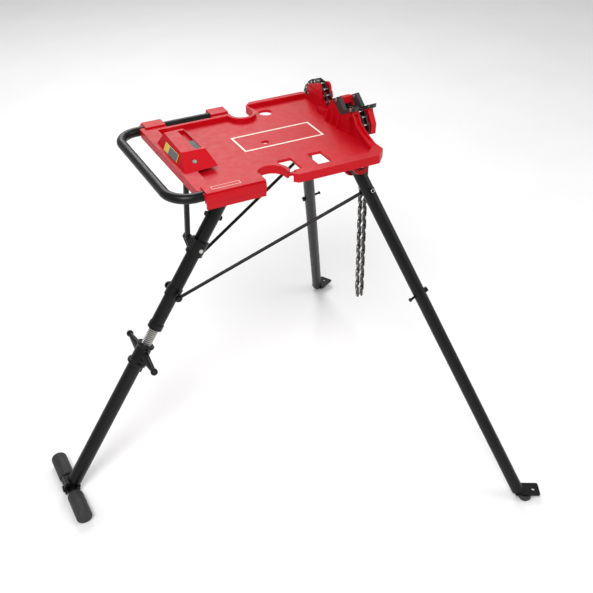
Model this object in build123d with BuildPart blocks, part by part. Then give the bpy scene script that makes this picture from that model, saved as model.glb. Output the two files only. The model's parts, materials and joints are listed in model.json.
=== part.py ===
from build123d import *
import os
from math import atan2, cos, degrees, pi, sin, sqrt

os.makedirs("parts", exist_ok=True)

# Folding tripod stand for a chain pipe vise, millimetres, +Z up, floor at z = 0.
# X runs along the tray: the carrying handle and the rear leg are at -X, the vise is at +X.
# The stand is the same left and right of the plane y = 0, apart from the tray's edge.

# ---- overall sizes -------------------------------------------------------------------------
tray_rim_z = 860.0          # top of the tray rim
tray_left_x = -189.0
tray_right_x = 252.0
tray_half_width = 204.0
rim_height = 10.0           # rim above the tray floor
floor_thick = 7.0
skirt_drop = 20.0           # outside wall of the tray, from the rim down
wall = 6.0

# ---- legs ------------------------------------------------------------------------------------
front_foot = (480.5, 543.3, 0.0)        # where the axis of a front leg meets the floor
front_pivot = (214.0, 126.2, 804.0)
front_tube_d = 30.0
front_tube_wall = 2.0
rear_foot_x = -522.2                    # rear leg axis at the height of the crossbar
crossbar_z = 20.0
rear_pivot = (-35.5, 0.0, 776.0)
rear_upper_d = 33.0
rear_lower_d = 35.0
fit_gap = 0.05                          # radial clearance of every pin that turns in a hole
side_gap = 0.5                          # clearance beside a part that swings

# ---- fold linkage ------------------------------------------------------------------------------
rod_bolt_drop = 65.76                   # down the front leg from its pivot to the tie rod bolt
rod_bolt_inset = front_tube_d / 2 + 10.0   # from the leg axis inwards to the middle of the rod eye
rear_eye_drop = 309.22                  # down the rear leg from its pivot to the lower rod bolt
rear_eye_y = 31.6
rod_d = 8.0
eye_r = 10.0
eye_thick = 5.0
eye_gap = 1.6                           # room for the eye to tilt beside its boss

# ---- directions ------------------------------------------------------------------------------
front_len = sqrt(sum((a - b) ** 2 for a, b in zip(front_foot, front_pivot)))
rear_dx = rear_foot_x - rear_pivot[0]
rear_dz = crossbar_z - rear_pivot[2]
rear_len = sqrt(rear_dx ** 2 + rear_dz ** 2)
rear_down = Vector(rear_dx / rear_len, 0, rear_dz / rear_len)
rear_out = Vector(rear_down.Z, 0, -rear_down.X)
tray_floor_z = tray_rim_z - rim_height
skirt_z = tray_rim_z - skirt_drop


def front_axes(side):
    """Down the leg, along the pivot outwards, and the pivot point, for side -1 or +1."""
    down = Vector(
        (front_foot[0] - front_pivot[0]) / front_len,
        side * (front_foot[1] - front_pivot[1]) / front_len,
        (front_foot[2] - front_pivot[2]) / front_len,
    )
    out = Vector(1, 0, 0).cross(down).normalized()
    if out.Y * side < 0:
        out = out * -1
    return down, out, Vector(front_pivot[0], side * front_pivot[1], front_pivot[2])


def front_plane(side, drop=0.0):
    """Frame on a front leg: z down the leg, x outwards along the pivot bolt."""
    down, out, pivot = front_axes(side)
    return Plane(origin=pivot + down * drop, x_dir=out, z_dir=down)


def pivot_plane(side, drop=0.0, shift=0.0):
    """Frame on a bolt across a front leg: z outwards along the bolt, x towards +X."""
    down, out, pivot = front_axes(side)
    return Plane(origin=pivot + down * drop + out * shift, x_dir=(1, 0, 0), z_dir=out)


def rear_plane(drop=0.0):
    """Frame on the rear leg: z down the leg, x along +Y, y towards the floor side."""
    origin = Vector(*rear_pivot) + rear_down * drop
    return Plane(origin=origin, x_dir=(0, 1, 0), z_dir=rear_down)


def rear_cross(drop=0.0, y=0.0, out=0.0):
    """Frame on a bolt across the rear leg: z along +Y, x down the leg."""
    origin = Vector(*rear_pivot) + rear_down * drop + rear_out * out + Vector(0, y, 0)
    return Plane(origin=origin, x_dir=rear_down, z_dir=(0, 1, 0))


def save(builder, label):
    # the finished piece is moved so that the origin lies under the middle of the whole stand
    placed = builder.part.moved(Location((centre_shift, 0, 0)))
    placed.label = label
    export_step(placed, "parts/" + label + ".step")


centre_shift = 6.39                      # puts the origin under the middle of the whole stand


# =============================================================================================
# Tray casting
# =============================================================================================
notch_front = (-15.0, -166.0, 31.0)     # centre x, y and radius
notch_rear = (58.0, 153.0, 28.0)
handle_y = 184.0
handle_z = 851.0
handle_r = 11.0
handle_x = -246.0
wing_low_z = 826.0                      # lowest edge of the lip over the handle
wing_end_x = -46.0                      # near end of the wing over the handle
tab_one = (-177.0, -129.0)
tab_two = (-13.0, 30.0)
recess_y = 160.0
window_w = 35.0
window_h = 62.0
window_xs = (42.0, 116.0)
window_y = -136.0
round_hole = (120.0, 148.0, 17.0)
small_hole = (46.0, -5.0, 9.0)
slot_x = 263.0                          # middle plane of the chain slot
near_y = -tray_half_width


def tray_outline():
    """Closed outline of the tray seen from above."""
    fx, fy, fr = notch_front
    rx, ry, rr = notch_rear
    far = tray_half_width
    with BuildLine() as line:
        Polyline(
            (fx + fr, near_y + 14),
            (fx + fr + 14, near_y),
            (tray_right_x - 24, near_y),
            (tray_right_x, near_y + 26),
            (tray_right_x, far - 6),
            (tray_right_x - 6, far),
            (rx + rr + 16, far),
            (rx + rr, far - 16),
            (rx + rr, ry),
        )
        ThreePointArc((rx + rr, ry), (rx, ry - rr), (rx - rr, ry))
        Polyline(
            (rx - rr, ry),
            (rx - rr, far),
            (tab_two[0], far),
            (tab_two[0], recess_y),
            (tab_one[1], recess_y),
            (tab_one[1], far),
            (tab_one[0], far),
            (tray_left_x, far - 16),
            (tray_left_x, near_y + 34),
            (tray_left_x + 10, near_y),
            (wing_end_x, near_y),
            (fx - fr, fy),
        )
        ThreePointArc((fx - fr, fy), (fx, fy + fr), (fx + fr, fy))
        Line((fx + fr, fy), (fx + fr, near_y + 14))
    return line


outline = tray_outline()
cheek_gap = front_tube_d / 2 + 1.0 + side_gap
near_rim = 24.0                         # width of the flat rim on each side
far_rim = 14.0
dish_mid_x = 52.0
rib_mid_x = (tray_left_x + tray_right_x) / 2
cheek_thick = 8.0
pivot_bolt_r = 6.0

with BuildPart() as tray:
    # outside block, hollowed from below
    with BuildSketch(Plane.XY.offset(skirt_z)):
        make_face(outline.line)
    extrude(amount=skirt_drop)
    with BuildSketch(Plane.XY.offset(skirt_z)):
        make_face(outline.line)
        offset(amount=-wall, kind=Kind.INTERSECTION, mode=Mode.REPLACE)
    extrude(amount=skirt_drop - rim_height - floor_thick, mode=Mode.SUBTRACT)
    # dished tray floor to the right of the wing, with its rim left standing
    with BuildSketch(Plane.XY.offset(tray_floor_z)):
        with Locations((dish_mid_x, (near_rim - far_rim) / 2)):
            RectangleRounded(
                2 * (tray_right_x + 6 - dish_mid_x), 2 * tray_half_width - near_rim - far_rim, 12)
        with Locations((tray_right_x, near_y + 22)):
            Rectangle(56, 56, rotation=45, mode=Mode.SUBTRACT)
        with Locations((notch_front[0], notch_front[1])):
            Circle(notch_front[2] + 8, mode=Mode.SUBTRACT)
        with Locations((notch_rear[0], notch_rear[1])):
            Circle(notch_rear[2] + 8, mode=Mode.SUBTRACT)
        with Locations((notch_front[0] - 60, near_y + 20)):
            Rectangle(134, 60, mode=Mode.SUBTRACT)
        with Locations((-60, tray_half_width - 20)):
            Rectangle(300, 66, mode=Mode.SUBTRACT)
    extrude(amount=rim_height + 1, mode=Mode.SUBTRACT)
    # stiffening ribs under the floor
    with BuildSketch(Plane.XY.offset(tray_floor_z - floor_thick - 9)):
        with Locations((91, 0), (-100, 0)):
            Rectangle(5, 2 * (recess_y - 8))
        with Locations((rib_mid_x, -60), (rib_mid_x, 70)):
            Rectangle(tray_right_x - tray_left_x - 40, 5)
    extrude(amount=10)
    # windows and holes
    with BuildSketch(Plane.XY.offset(tray_floor_z - floor_thick - 12)):
        for window_x in window_xs:
            with Locations((window_x, window_y)):
                RectangleRounded(window_w, window_h, 4)
        with Locations((round_hole[0], round_hole[1])):
            Circle(round_hole[2])
        with Locations((small_hole[0], small_hole[1])):
            Circle(small_hole[2])
        with Locations(Location((-118, 122), 90)):
            SlotOverall(58, 20)
    extrude(amount=40, mode=Mode.SUBTRACT)
    # channels that hold the two arms of the handle
    with BuildSketch(Plane.YZ.offset(tray_left_x - 1)):
        with Locations((-handle_y, handle_z), (handle_y, handle_z)):
            Circle(handle_r)
        with Locations((-handle_y, handle_z - 15), (handle_y, handle_z - 15)):
            Rectangle(2 * handle_r, 30)
    extrude(amount=tab_two[1] - tray_left_x + 1, mode=Mode.SUBTRACT)
    # lip and tabs that wrap over and outside the handle arms
    with BuildSketch(Plane.YZ.offset(tray_left_x + 10)):
        with BuildLine():
            Polyline(
                (near_y + 4, tray_rim_z - 1), (near_y - 1, tray_rim_z - 8),
                (near_y + 3, wing_low_z), (near_y + 9, wing_low_z),
                (near_y + 9, tray_rim_z - 1), close=True)
        make_face()
    extrude(amount=wing_end_x - tray_left_x - 10)
    for tab in (tab_one, tab_two):
        with BuildSketch(Plane.YZ.offset(tab[0])):
            with Locations((tray_half_width - 4.5, tray_rim_z - 18)):
                Rectangle(9, 32)
        extrude(amount=tab[1] - tab[0])
    cover_spans = (
        (tray_left_x + 10, wing_end_x, -handle_y), (tab_one[0], tab_one[1], handle_y),
        (tab_two[0], tab_two[1], handle_y))
    for x0, x1, y in cover_spans:
        with BuildSketch(Plane.YZ.offset(x0)):
            with Locations((y, tray_rim_z + 0.5)):
                Rectangle(34, 7)
        extrude(amount=x1 - x0)
    with BuildSketch(Plane.YZ.offset(tray_left_x - 1)):
        with Locations((-handle_y, handle_z), (handle_y, handle_z)):
            Circle(handle_r)
    extrude(amount=tab_two[1] - tray_left_x - 6, mode=Mode.SUBTRACT)
save(tray, "tray_casting")

# ears of the same casting that carry the three legs, kept apart from the deck
with BuildPart() as ears:
    # hinge ears for the rear leg
    with BuildSketch(Plane.XZ.offset(-28)):
        with BuildLine():
            Polyline(
                (rear_pivot[0] - 20, tray_floor_z - 3), (rear_pivot[0] - 17, rear_pivot[2]),
                (rear_pivot[0] - 9, rear_pivot[2] - 16), (rear_pivot[0] + 9, rear_pivot[2] - 16),
                (rear_pivot[0] + 17, rear_pivot[2]), (rear_pivot[0] + 24, tray_floor_z - 3),
                close=True)
        make_face()
    extrude(amount=56)
    with BuildSketch(Plane.XZ.offset(-(rear_upper_d / 2 + 2))):
        with Locations((rear_pivot[0], rear_pivot[2] - 4)):
            Rectangle(60, 72)
    extrude(amount=rear_upper_d + 4, mode=Mode.SUBTRACT)
    with BuildSketch(Plane.XZ.offset(-40)):
        with Locations((rear_pivot[0], rear_pivot[2])):
            Circle(pivot_bolt_r)
    extrude(amount=80, mode=Mode.SUBTRACT)
    # forks for the front legs: a pair of cheeks square to each pivot bolt
    for side in (-1, 1):
        for shift, reach in ((cheek_gap, 37.0), (-cheek_gap - cheek_thick, 58.0)):
            with BuildSketch(pivot_plane(side, 0, shift)):
                Circle(21)
                with Locations((0, -side * reach / 2)):
                    Rectangle(42, reach)
            extrude(amount=cheek_thick)
        with BuildSketch(pivot_plane(side, 0, -40)):
            Circle(pivot_bolt_r)
        extrude(amount=80, mode=Mode.SUBTRACT)
    with BuildSketch(Plane.XY.offset(tray_floor_z - floor_thick)):
        Rectangle(700, 700)
    extrude(amount=60, mode=Mode.SUBTRACT)
    add(tray.part, mode=Mode.SUBTRACT)
save(ears, "leg_mounting_ears")

# =============================================================================================
# Pipe rest at the handle end
# =============================================================================================
rest_top_z = 887.0
with BuildPart() as rest:
    with BuildSketch(Plane.XY.offset(tray_rim_z)):
        with BuildLine():
            Polyline((-183, -92), (-104, -86), (-112, 92), (-180, 84), close=True)
        make_face()
    with BuildSketch(Plane.XY.offset(rest_top_z)):
        with BuildLine():
            Polyline((-170, -42), (-116, -46), (-120, 74), (-166, 72), close=True)
        make_face()
    loft()
    with BuildSketch(Plane.XY.offset(rest_top_z - 8)):
        with Locations((-129, 14)):
            Rectangle(15, 104)
    extrude(amount=20, mode=Mode.SUBTRACT)
    with BuildSketch(Plane(origin=(-150, -66, 870), x_dir=(1, 0, 0), z_dir=(0, -0.5, 0.866))):
        Circle(6)
    extrude(amount=12, mode=Mode.SUBTRACT)
save(rest, "pipe_rest_block")

with BuildPart() as rest_pad:
    with BuildSketch(Plane.XY.offset(rest_top_z - 8)):
        with Locations((-129, -14)):
            Rectangle(15, 42)
    extrude(amount=6.5)
save(rest_pad, "pipe_rest_rubber")

with BuildPart() as rest_screw:
    with BuildSketch(Plane(origin=(-150, -66, 870), x_dir=(1, 0, 0), z_dir=(0, -0.5, 0.866))):
        Circle(5)
        RegularPolygon(2.5, 6, mode=Mode.SUBTRACT)
    extrude(amount=3)
    with BuildSketch(Plane(origin=(-150, -66, 870), x_dir=(1, 0, 0), z_dir=(0, -0.5, 0.866))):
        Circle(5)
    extrude(amount=1)
save(rest_screw, "pipe_rest_screw")

with BuildPart() as plate:
    tilt = atan2(12.0, rest_top_z - tray_rim_z)
    with Locations(Location((-177.8, 0, 872), (0, degrees(tilt), 0))):
        Box(1.5, 76, 18)
save(plate, "blank_label_plate")

# =============================================================================================
# Chain vise head
# =============================================================================================
slot_w = 26.0
base_left_x = 233.0
base_right_x = 289.0
jaw_t = 9.0
jaw_screw_ys = (-70.0, -2.0)
jaw_profile = [
    (-24.0, 886.0), (-86.0, 916.0), (-88.0, 927.0), (-39.0, 902.5), (-10.0, 925.0), (18.0, 910.0)]


def v_plate(x0):
    """One hardened V jaw plate, its inner face at x0."""
    with BuildPart() as jaw:
        with BuildSketch(Plane.YZ.offset(x0)):
            with BuildLine():
                Polyline(*jaw_profile, close=True)
            make_face()
        extrude(amount=jaw_t)
        for y in jaw_screw_ys:
            with BuildSketch(Plane.YZ.offset(x0 - 1)):
                with Locations((y, 914)):
                    Circle(2.5)
            extrude(amount=jaw_t + 2, mode=Mode.SUBTRACT)
    return jaw


jaw_left = v_plate(base_left_x - 2)
save(jaw_left, "v_jaw_inner")
jaw_right = v_plate(base_right_x - 11)
save(jaw_right, "v_jaw_outer")

# top line of the near slope, from the tray corner up to the jaws
slope_line = [(-158.0, 856.0), (-154.0, 860.0), (-130.0, 868.0), (-110.0, 874.0), (-88.0, 886.0),
              (-74.0, 906.0)]
horn_wide = 32.0
chain_channel = 21.0                    # width of the channel that the chain runs in
horn_side = [(92.0, 850.0), (97.0, 862.0), (107.0, 904.0), (114.0, 910.0), (124.0, 909.0),
             (166.0, 893.0), (172.0, 885.0), (162.0, 850.0)]
channel_side = [(54.0, 861.0), (86.0, 861.0), (102.0, 869.0), (120.0, 887.0), (136.0, 895.5),
                (150.0, 894.0), (168.0, 884.0), (188.0, 862.0), (196.0, 940.0), (54.0, 940.0)]

with BuildPart() as vise:
    # inner wall, square to X, with the long slope down to the tray corner
    with BuildSketch(Plane.YZ.offset(base_left_x)):
        with BuildLine():
            Polyline(*slope_line, (-74, 911), (-24, 886), (18, 910), (30, 900), (44, 874), (62, 864),
                     (96, 862), (96, 848), (-158, 848), close=True)
        make_face()
    extrude(amount=slot_x - slot_w / 2 - base_left_x)
    # the wall is thinner under the flange of the slope, and the flange has a groove along it
    with BuildSketch(Plane.YZ.offset(base_left_x)):
        with BuildLine():
            Polyline((-140, 848), (-134, 860), (-112, 867), (-92, 878), (-80, 896), (-62, 896),
                     (-62, 848), close=True)
        make_face()
    extrude(amount=7, mode=Mode.SUBTRACT)
    with BuildSketch(Plane.YZ.offset(base_left_x + 4)):
        with BuildLine():
            Polyline((-150, 862), (-130, 864), (-109, 869.5), (-84, 882), (-72, 898), (-80, 912),
                     (-150, 880), close=True)
        make_face()
    extrude(amount=slot_x - slot_w / 2 - base_left_x - 8, mode=Mode.SUBTRACT)
    # outer wall is shorter
    with BuildSketch(Plane.YZ.offset(slot_x + slot_w / 2)):
        with BuildLine():
            Polyline((-86, 852), (-88, 877), (-72, 902), (-70, 908), (-24, 886), (18, 910), (34, 898),
                     (52, 866), (60, 852), close=True)
        make_face()
    extrude(amount=base_right_x - slot_x - slot_w / 2)
    # end flange that carries both walls and the horn off the end of the tray
    with BuildSketch(Plane.XY.offset(skirt_z)):
        with Locations(((tray_right_x + base_right_x) / 2, 63)):
            Rectangle(base_right_x - tray_right_x, 250)
    extrude(amount=16)
    # web between the walls under the saddles, and the bridge over the chain
    with BuildSketch(Plane.YZ.offset(slot_x - slot_w / 2)):
        with BuildLine():
            Polyline((-60, 850), (-56, 884), (-20, 881), (18, 869), (40, 860), (92, 850), close=True)
        make_face()
        with BuildLine():
            Polyline((0, 900), (4, 914), (14, 915), (22, 906), (20, 896), close=True)
        make_face()
    extrude(amount=slot_w)
    # gussets against the tray floor
    for gusset_y in (38, 12, -14):
        with BuildSketch(Plane.XZ.offset(-gusset_y - 2)):
            with BuildLine():
                Polyline((base_left_x + 1, 848), (base_left_x - 11, 848), (base_left_x - 9, 853),
                         (base_left_x + 1, 886), close=True)
            make_face()
        extrude(amount=4)
    # horn that leads the chain over the far side, with a channel for the chain along its top
    with BuildSketch(Plane.YZ.offset(slot_x - horn_wide / 2)):
        with BuildLine():
            Polyline(*horn_side, close=True)
        make_face()
    extrude(amount=horn_wide)
    with BuildSketch(Plane.YZ.offset(slot_x - horn_wide / 2 - 1.5)):
        with BuildLine():
            Polyline((99, 876), (103, 890), (169, 890), (169.5, 876), close=True)
        make_face()
    extrude(amount=horn_wide + 3)
    with BuildSketch(Plane.YZ.offset(slot_x - 14)):
        with BuildLine():
            Polyline((60, 850), (60, 860), (96, 860), (150, 870), (170, 868), (188, 850), close=True)
        make_face()
    extrude(amount=28)
    with BuildSketch(Plane.YZ.offset(slot_x - chain_channel / 2)):
        with BuildLine():
            Polyline(*channel_side, close=True)
        make_face()
    extrude(amount=chain_channel, mode=Mode.SUBTRACT)
    add(tray.part, mode=Mode.SUBTRACT)
    add(ears.part, mode=Mode.SUBTRACT)
    # seats that carry the jaw plates
    for x0 in (base_left_x - 1, slot_x + slot_w / 2):
        with BuildSketch(Plane.YZ.offset(x0)):
            with BuildLine():
                Polyline((-72, 909), (-24, 886), (16, 908), (10, 884), (-58, 884), close=True)
            make_face()
        extrude(amount=13)
    add(jaw_left.part, mode=Mode.SUBTRACT)
    add(jaw_right.part, mode=Mode.SUBTRACT)
save(vise, "vise_base")


with BuildPart() as jaw_screws:
    for x0 in (base_left_x - 4, base_right_x - 13):
        for y in jaw_screw_ys:
            with BuildSketch(Plane.YZ.offset(x0)):
                with Locations((y, 914)):
                    Circle(4.5)
            extrude(amount=2)
            with BuildSketch(Plane.YZ.offset(x0 + 2)):
                with Locations((y, 914)):
                    Circle(2.5)
            extrude(amount=jaw_t)
save(jaw_screws, "v_jaw_screws")

# =============================================================================================
# Chain: leaf plates on cross pins, laid over the vise, with its free end hanging
# =============================================================================================
chain_pitch = 17.8
plate_r = 6.5
plate_t = 2.0
pin_r = 2.8
inner_x = 4.6                            # inside face of the inner plates
outer_x = inner_x + plate_t + 0.3
pin_half = outer_x + plate_t + 0.8
tail_y = -82.0
tail_top_z = 822.0
tail_links = 23
chain_path = [
    (tail_y, tail_top_z), (tail_y, 868.0), (-75.0, 888.0), (-50.0, 899.0), (-16.0, 893.0),
    (16.0, 884.0), (48.0, 871.0), (84.0, 872.0), (112.0, 893.0), (130.0, 905.0), (150.0, 904.5),
    (172.0, 893.0), (190.0, 876.0), (200.0, 856.0), (200.0, 780.0),
]


def walk(path, step, count):
    """Points a fixed straight distance apart along a polyline in the YZ plane."""
    points = [path[0]]
    seg, t = 0, 0.0
    while len(points) <= count and seg < len(path) - 1:
        py, pz = points[-1]
        found = False
        while seg < len(path) - 1 and not found:
            (ay, az), (by, bz) = path[seg], path[seg + 1]
            dy, dz = by - ay, bz - az
            fy, fz = ay - py, az - pz
            qa = dy * dy + dz * dz
            qb = 2 * (fy * dy + fz * dz)
            disc = qb * qb - 4 * qa * (fy * fy + fz * fz - step * step)
            root = (-qb + sqrt(disc)) / (2 * qa) if disc > 0 else 2.0
            if t < root <= 1.0:
                points.append((ay + root * dy, az + root * dz))
                t = root
                found = True
            else:
                seg, t = seg + 1, 0.0
        if not found:
            break
    return points


def chain_links(points, first_outer, loose_first=False):
    """Side plates between neighbouring points; outer and inner links take turns."""
    with BuildPart() as links:
        for i in range(len(points) - 1):
            (ay, az), (by, bz) = points[i], points[i + 1]
            outer = (i % 2 == 0) == first_outer
            x_in = outer_x if outer else inner_x
            hole = pin_r + (fit_gap if loose_first and i == 0 else 0)
            for x0 in (slot_x + x_in, slot_x - x_in - plate_t):
                mid = Plane(origin=(x0, (ay + by) / 2, (az + bz) / 2),
                            x_dir=(0, by - ay, bz - az), z_dir=(1, 0, 0))
                with BuildSketch(mid):
                    SlotCenterToCenter(chain_pitch, 2 * plate_r)
                    with Locations((-chain_pitch / 2, 0)):
                        Circle(hole, mode=Mode.SUBTRACT)
                    with Locations((chain_pitch / 2, 0)):
                        Circle(pin_r, mode=Mode.SUBTRACT)
                extrude(amount=plate_t)
    return links


def chain_pins(points):
    """Cross pins through the chain at the given points."""
    with BuildPart() as pins:
        for y, z in points:
            with BuildSketch(Plane.YZ.offset(slot_x - pin_half)):
                with Locations((y, z)):
                    Circle(pin_r)
            extrude(amount=2 * pin_half)
    return pins


seat_points = walk(chain_path, chain_pitch, 40)
seat_points = [p for p in seat_points if not (p[0] > 190 and p[1] < 832)]
seat_links = chain_links(seat_points, True)
save(seat_links, "chain_seat_links")
seat_pins = chain_pins(seat_points)
save(seat_pins, "chain_seat_pins")

tail_points = [(tail_y, tail_top_z - i * chain_pitch) for i in range(tail_links + 1)]
tail_breaks = (0, 7, 15, tail_links)
for n, label in enumerate(("upper", "middle", "lower")):
    points = tail_points[tail_breaks[n]:tail_breaks[n + 1] + 1]
    save(chain_links(points, tail_breaks[n] % 2 == 1, True), "chain_tail_" + label + "_links")
    save(chain_pins(points[1:]), "chain_tail_" + label + "_pins")

# the last seat pin is held by the clevis of the tension screw
end_y, end_z = seat_points[-1]
clevis_travel = 8.0
screw_r = 5.0
knob_z = 792.0
with BuildPart() as clevis:
    with BuildSketch(Plane.XY.offset(knob_z + 20)):
        with Locations((slot_x, end_y)):
            Rectangle(9.0, 13.0)
    extrude(amount=end_z + clevis_travel + 5.6 - knob_z - 20)
    with BuildSketch(Plane.YZ.offset(slot_x - 10)):
        with Locations(Location((end_y, end_z + clevis_travel / 2 - 0.2), 90)):
            SlotOverall(clevis_travel + 2 * pin_r + 0.6, 2 * pin_r + 0.6)
    extrude(amount=20, mode=Mode.SUBTRACT)
    with BuildSketch(Plane.XY.offset(knob_z - 34)):
        with Locations((slot_x, end_y)):
            Circle(screw_r)
    extrude(amount=54)
save(clevis, "tension_screw")

with BuildPart() as knob:
    with BuildSketch(Plane.XY.offset(knob_z - 26)):
        with Locations((slot_x, end_y)):
            Circle(12)
        with Locations((slot_x, end_y)):
            with PolarLocations(10, 6):
                Circle(4.5)
        with Locations((slot_x, end_y)):
            Circle(screw_r + fit_gap, mode=Mode.SUBTRACT)
    extrude(amount=22)
    with BuildSketch(Plane.XY.offset(knob_z - 4)):
        with Locations((slot_x, end_y)):
            Circle(9)
            Circle(screw_r + fit_gap, mode=Mode.SUBTRACT)
    extrude(amount=10)
save(knob, "tension_knob")

with BuildPart() as stirrup:
    with BuildSketch(Plane.XY.offset(knob_z + 6)):
        with Locations((tray_right_x + 12, end_y)):
            Rectangle(24, 28)
        with Locations((slot_x, end_y)):
            Circle(screw_r + 0.4, mode=Mode.SUBTRACT)
    extrude(amount=5)
    with BuildSketch(Plane.XY.offset(knob_z + 6)):
        with Locations((tray_right_x + 3, end_y - 11.5)):
            Rectangle(6, 5)
    extrude(amount=tray_floor_z - 2 - knob_z - 6)
    add(vise.part, mode=Mode.SUBTRACT)
    add(tray.part, mode=Mode.SUBTRACT)
save(stirrup, "tension_stirrup")

# =============================================================================================
# Carrying handle
# =============================================================================================
handle_bend = 52.0
near_arm_end = wing_end_x - 8
far_arm_end = tab_two[1] - 8
with BuildPart() as handle:
    with BuildLine() as handle_path:
        Line((near_arm_end, -handle_y, handle_z), (handle_x + handle_bend, -handle_y, handle_z))
        c = sqrt(0.5)
        ThreePointArc(
            (handle_x + handle_bend, -handle_y, handle_z),
            (handle_x + handle_bend * (1 - c), -handle_y + handle_bend * (1 - c), handle_z),
            (handle_x, -handle_y + handle_bend, handle_z))
        Line((handle_x, -handle_y + handle_bend, handle_z), (handle_x, handle_y - handle_bend, handle_z))
        ThreePointArc(
            (handle_x, handle_y - handle_bend, handle_z),
            (handle_x + handle_bend * (1 - c), handle_y - handle_bend * (1 - c), handle_z),
            (handle_x + handle_bend, handle_y, handle_z))
        Line((handle_x + handle_bend, handle_y, handle_z), (far_arm_end, handle_y, handle_z))
    with BuildSketch(Plane(origin=(near_arm_end, -handle_y, handle_z), x_dir=(0, 1, 0),
                           z_dir=(-1, 0, 0))):
        Circle(handle_r)
        Circle(handle_r - 2, mode=Mode.SUBTRACT)
    sweep(path=handle_path.line)
save(handle, "carry_handle_tube")

# straps that close the channels from below, two screws each
strap_xs = ((-160.0, -handle_y), (-76.0, -handle_y), (-156.0, handle_y), (8.0, handle_y))
strap_z = handle_z - handle_r
with BuildPart() as straps:
    with BuildSketch(Plane.XY.offset(strap_z - 3)):
        for x, y in strap_xs:
            inner = y - 8 if y > 0 else y + 8
            with Locations((x, inner)):
                Rectangle(16, 30)
    extrude(amount=3)
    add(tray.part, mode=Mode.SUBTRACT)
    add(ears.part, mode=Mode.SUBTRACT)
save(straps, "handle_straps")

# =============================================================================================
# Front legs, one each side
# =============================================================================================
front_bore_r = front_tube_d / 2 - front_tube_wall
tube_start = 17.0
tube_end = front_len - 22.0
hook_drop = 341.0
rod_bolt_r = 3.5
foot_plate_len = 62.0
foot_plate_shift = 16.0

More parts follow.
